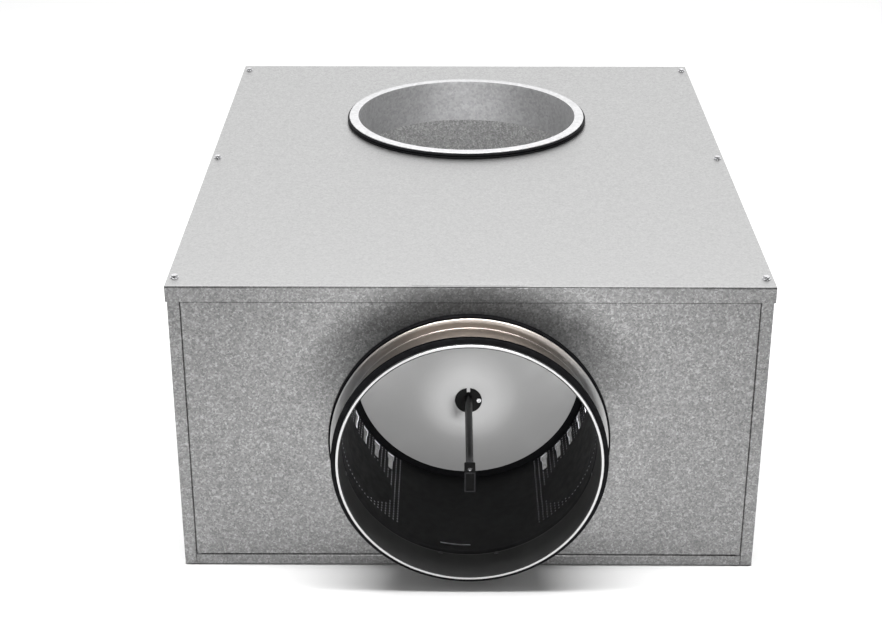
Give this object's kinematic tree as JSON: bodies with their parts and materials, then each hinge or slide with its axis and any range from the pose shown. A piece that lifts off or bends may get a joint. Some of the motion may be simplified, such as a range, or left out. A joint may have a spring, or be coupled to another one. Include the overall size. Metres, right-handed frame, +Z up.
{
  "type": "ventilation plenum box with cone damper",
  "caption": "Sheet-steel ventilation plenum box with a round outlet collar on top and a round inlet spigot holding a sliding cone damper.",
  "frame": {"origin": "centre of the underside of the casing's base", "axes": "+Z up through the lid with the outlet collar, -Y out of the face with the inlet spigot, +X to the right seen from that face"},
  "size_m": [0.56, 0.7716, 0.3067],
  "materials": {
    "galvanised_sheet": "hot-dip galvanised sheet steel with a fine mottled spangle",
    "spun_galvanised": "smooth bright galvanised steel, formed and rolled",
    "zinc_fastener": "bright zinc-plated steel",
    "rubber_seal": "black moulded rubber",
    "black_tube": "satin black plastic",
    "black_plastic": "satin black plastic",
    "cone_aluminium": "satin spun aluminium"
  },
  "bodies": {
    "casing": {"base_panel": "galvanised_sheet", "left_side_panel": "galvanised_sheet", "right_side_panel": "galvanised_sheet", "front_panel": "galvanised_sheet", "rear_panel": "galvanised_sheet", "lid_panel": "galvanised_sheet", "lid_sealing_strip": "rubber_seal", "lid_screws": "zinc_fastener", "blank_plate": "galvanised_sheet", "outlet_collar": "spun_galvanised", "outlet_gasket": "rubber_seal", "inlet_spigot": "spun_galvanised", "inlet_duct_seal": "rubber_seal", "inlet_flange_ring": "spun_galvanised", "inlet_gasket": "rubber_seal", "spigot_rivets": "zinc_fastener", "damper_tube": "black_tube", "rod_bridge": "spun_galvanised", "bridge_rivets": "zinc_fastener", "guide_rod": "black_plastic", "rod_end_block": "black_plastic", "block_set_screw": "zinc_fastener", "rod_washer": "zinc_fastener", "rod_nut": "zinc_fastener"},
    "damper": {"damper_cone": "cone_aluminium", "cone_edge_seal": "rubber_seal", "cone_hub": "black_plastic", "hub_ring_nut": "black_plastic", "hub_lock_screw": "zinc_fastener"}
  },
  "joints": [
    {"name": "damper_slide", "type": "slide", "parent": "casing", "child": "damper", "axis": [0, -1, 0], "range_m": [0, 0.128]}
  ]
}
